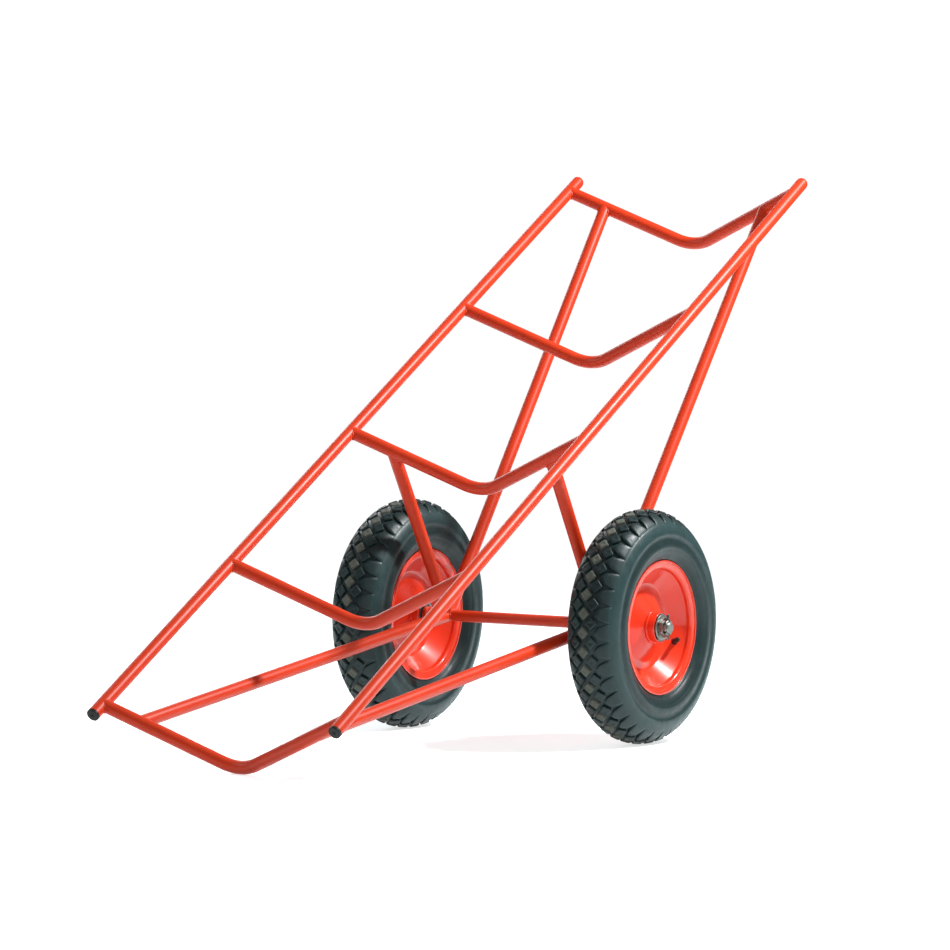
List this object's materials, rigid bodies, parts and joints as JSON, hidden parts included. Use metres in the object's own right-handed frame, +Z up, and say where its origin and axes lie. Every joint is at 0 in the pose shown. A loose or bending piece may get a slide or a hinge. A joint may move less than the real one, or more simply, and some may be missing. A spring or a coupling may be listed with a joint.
{
  "type": "beam trolley",
  "caption": "Two-wheel hand trolley: sloping welded tube deck with V saddles that cradle a beam, braced axle and pneumatic barrow wheels.",
  "frame": {"origin": "middle of the footprint at ground level", "axes": "+X across to the right-hand wheel as seen from the low end, +Y along the ground towards the raised end of the deck, +Z up"},
  "size_m": [0.585, 1.511, 0.9687],
  "materials": {
    "frame_paint": "glossy orange-red enamel",
    "rim_paint": "glossy orange-red enamel on pressed steel",
    "zinc_steel": "zinc plated",
    "bearing_steel": "ground",
    "cage_steel": "pressed sheet",
    "tyre": "moulded, block tread",
    "rubber": "matt",
    "black_plastic": "satin moulded"
  },
  "bodies": {
    "frame": {"right_rail": "frame_paint", "left_rail": "frame_paint", "saddle_1": "frame_paint", "saddle_2": "frame_paint", "saddle_3": "frame_paint", "saddle_4": "frame_paint", "saddle_5": "frame_paint", "right_front_strut": "frame_paint", "right_middle_strut": "frame_paint", "right_rear_strut": "frame_paint", "left_front_strut": "frame_paint", "left_middle_strut": "frame_paint", "left_rear_strut": "frame_paint", "right_foot_plug": "black_plastic", "left_foot_plug": "black_plastic", "right_top_dome": "frame_paint", "left_top_dome": "frame_paint", "axle": "frame_paint", "right_axle_collar": "frame_paint", "left_axle_collar": "frame_paint", "right_washer": "zinc_steel", "left_washer": "zinc_steel", "right_castle_nut": "zinc_steel", "left_castle_nut": "zinc_steel", "right_split_pin": "zinc_steel", "left_split_pin": "zinc_steel", "right_inner_races": "bearing_steel", "left_inner_races": "bearing_steel", "right_distance_tube": "bearing_steel", "left_distance_tube": "bearing_steel"},
    "right_wheel": {"right_tyre": "tyre", "right_inner_tube": "rubber", "right_outer_rim_half": "rim_paint", "right_inner_rim_half": "rim_paint", "right_hub": "rim_paint", "right_outer_races": "bearing_steel", "right_bearing_balls": "bearing_steel", "right_bearing_cages": "cage_steel", "right_bearing_seals": "rubber", "right_valve_stem": "rubber", "right_valve_cap": "black_plastic"},
    "left_wheel": {"left_tyre": "tyre", "left_inner_tube": "rubber", "left_outer_rim_half": "rim_paint", "left_inner_rim_half": "rim_paint", "left_hub": "rim_paint", "left_outer_races": "bearing_steel", "left_bearing_balls": "bearing_steel", "left_bearing_cages": "cage_steel", "left_bearing_seals": "rubber", "left_valve_stem": "rubber", "left_valve_cap": "black_plastic"}
  },
  "joints": [
    {"name": "right_wheel_spin", "type": "hinge", "parent": "frame", "child": "right_wheel", "pos_m": [0.2375, 0.1791, 0.2], "axis": [1, 0, 0], "continuous": true},
    {"name": "left_wheel_spin", "type": "hinge", "parent": "frame", "child": "left_wheel", "pos_m": [-0.2375, 0.1791, 0.2], "axis": [1, 0, 0], "continuous": true}
  ]
}
